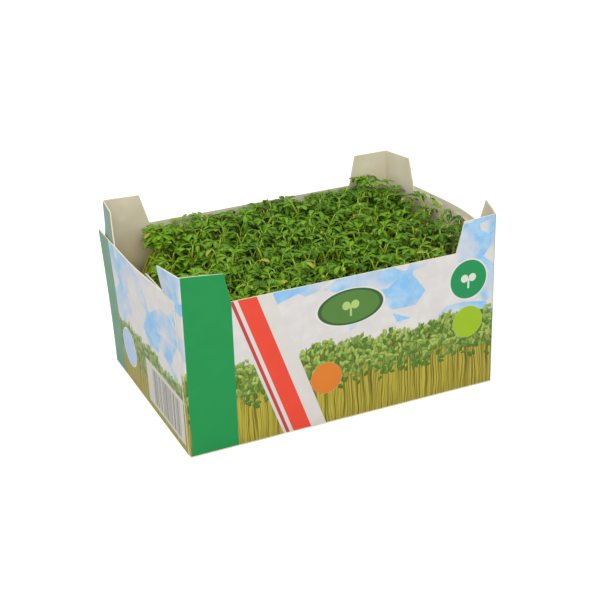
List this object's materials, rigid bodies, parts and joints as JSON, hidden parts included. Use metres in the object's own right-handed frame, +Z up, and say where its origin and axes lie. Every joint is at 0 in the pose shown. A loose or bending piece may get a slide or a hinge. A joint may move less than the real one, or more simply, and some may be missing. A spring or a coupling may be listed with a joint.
{
  "type": "microgreens tray",
  "caption": "Small folded carton tray with raised corner posts, filled with a growing pad and a dense bed of garden cress seedlings.",
  "frame": {"origin": "centre of the carton's floor on the surface that it stands on, midway between the four corner folds", "axes": "+X along the long side, to the right seen from the printed front; +Y from the front to the back; +Z up"},
  "size_m": [0.1416, 0.0914, 0.074],
  "materials": {
    "board": "satin printed outside, matt grey-beige inside",
    "medium": "rough, damp, fibrous",
    "cress": "soft satin leaf green"
  },
  "bodies": {
    "root": {"carton": "board", "growing_pad": "medium", "cress_clump_1_1": "cress", "cress_clump_1_2": "cress", "cress_clump_1_3": "cress", "cress_clump_1_4": "cress", "cress_clump_1_5": "cress", "cress_clump_1_6": "cress", "cress_clump_2_1": "cress", "cress_clump_2_2": "cress", "cress_clump_2_3": "cress", "cress_clump_2_4": "cress", "cress_clump_2_5": "cress", "cress_clump_2_6": "cress", "cress_clump_3_1": "cress", "cress_clump_3_2": "cress", "cress_clump_3_3": "cress", "cress_clump_3_4": "cress", "cress_clump_3_5": "cress", "cress_clump_3_6": "cress", "cress_clump_4_1": "cress", "cress_clump_4_2": "cress", "cress_clump_4_3": "cress", "cress_clump_4_4": "cress", "cress_clump_4_5": "cress", "cress_clump_4_6": "cress", "cress_clump_5_1": "cress", "cress_clump_5_2": "cress", "cress_clump_5_3": "cress", "cress_clump_5_4": "cress", "cress_clump_5_5": "cress", "cress_clump_5_6": "cress"}
  },
  "joints": []
}
